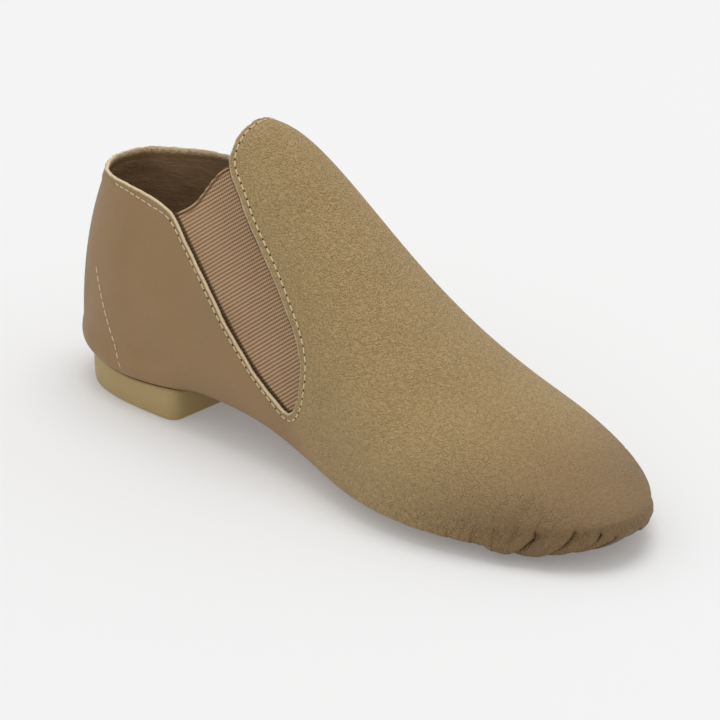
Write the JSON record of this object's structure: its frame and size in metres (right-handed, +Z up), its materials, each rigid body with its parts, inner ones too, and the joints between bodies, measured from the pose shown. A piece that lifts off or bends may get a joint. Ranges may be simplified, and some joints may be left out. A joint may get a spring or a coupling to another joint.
{
  "type": "jazz shoe",
  "caption": "Slip-on jazz dance shoe for the left foot: tan leather upper with a long elastic gore in each side, low rubber heel block and a thin suede pad under the forefoot.",
  "frame": {"origin": "on the floor, under the middle of the shoe's length and width", "axes": "+X towards the toe along the shoe, +Y towards the outer side of the foot, +Z up"},
  "size_m": [0.25, 0.0854, 0.1092],
  "materials": {
    "upper_leather": "matte tan leather with a fine pebbled grain, pale stitching in small holes",
    "gore_elastic": "finely ribbed tan elastic webbing with a darker bound top edge",
    "sock_lining": "dark brown brushed textile lining and sock",
    "sole_suede": "short-napped tan suede, slightly scuffed",
    "heel_rubber": "smooth matte tan moulded rubber with a soft edge"
  },
  "bodies": {
    "root": {"upper": "upper_leather", "gore_right": "gore_elastic", "gore_left": "gore_elastic", "insole": "sock_lining", "sole_pad": "sole_suede", "heel": "heel_rubber", "back_tab": "upper_leather"}
  },
  "joints": []
}
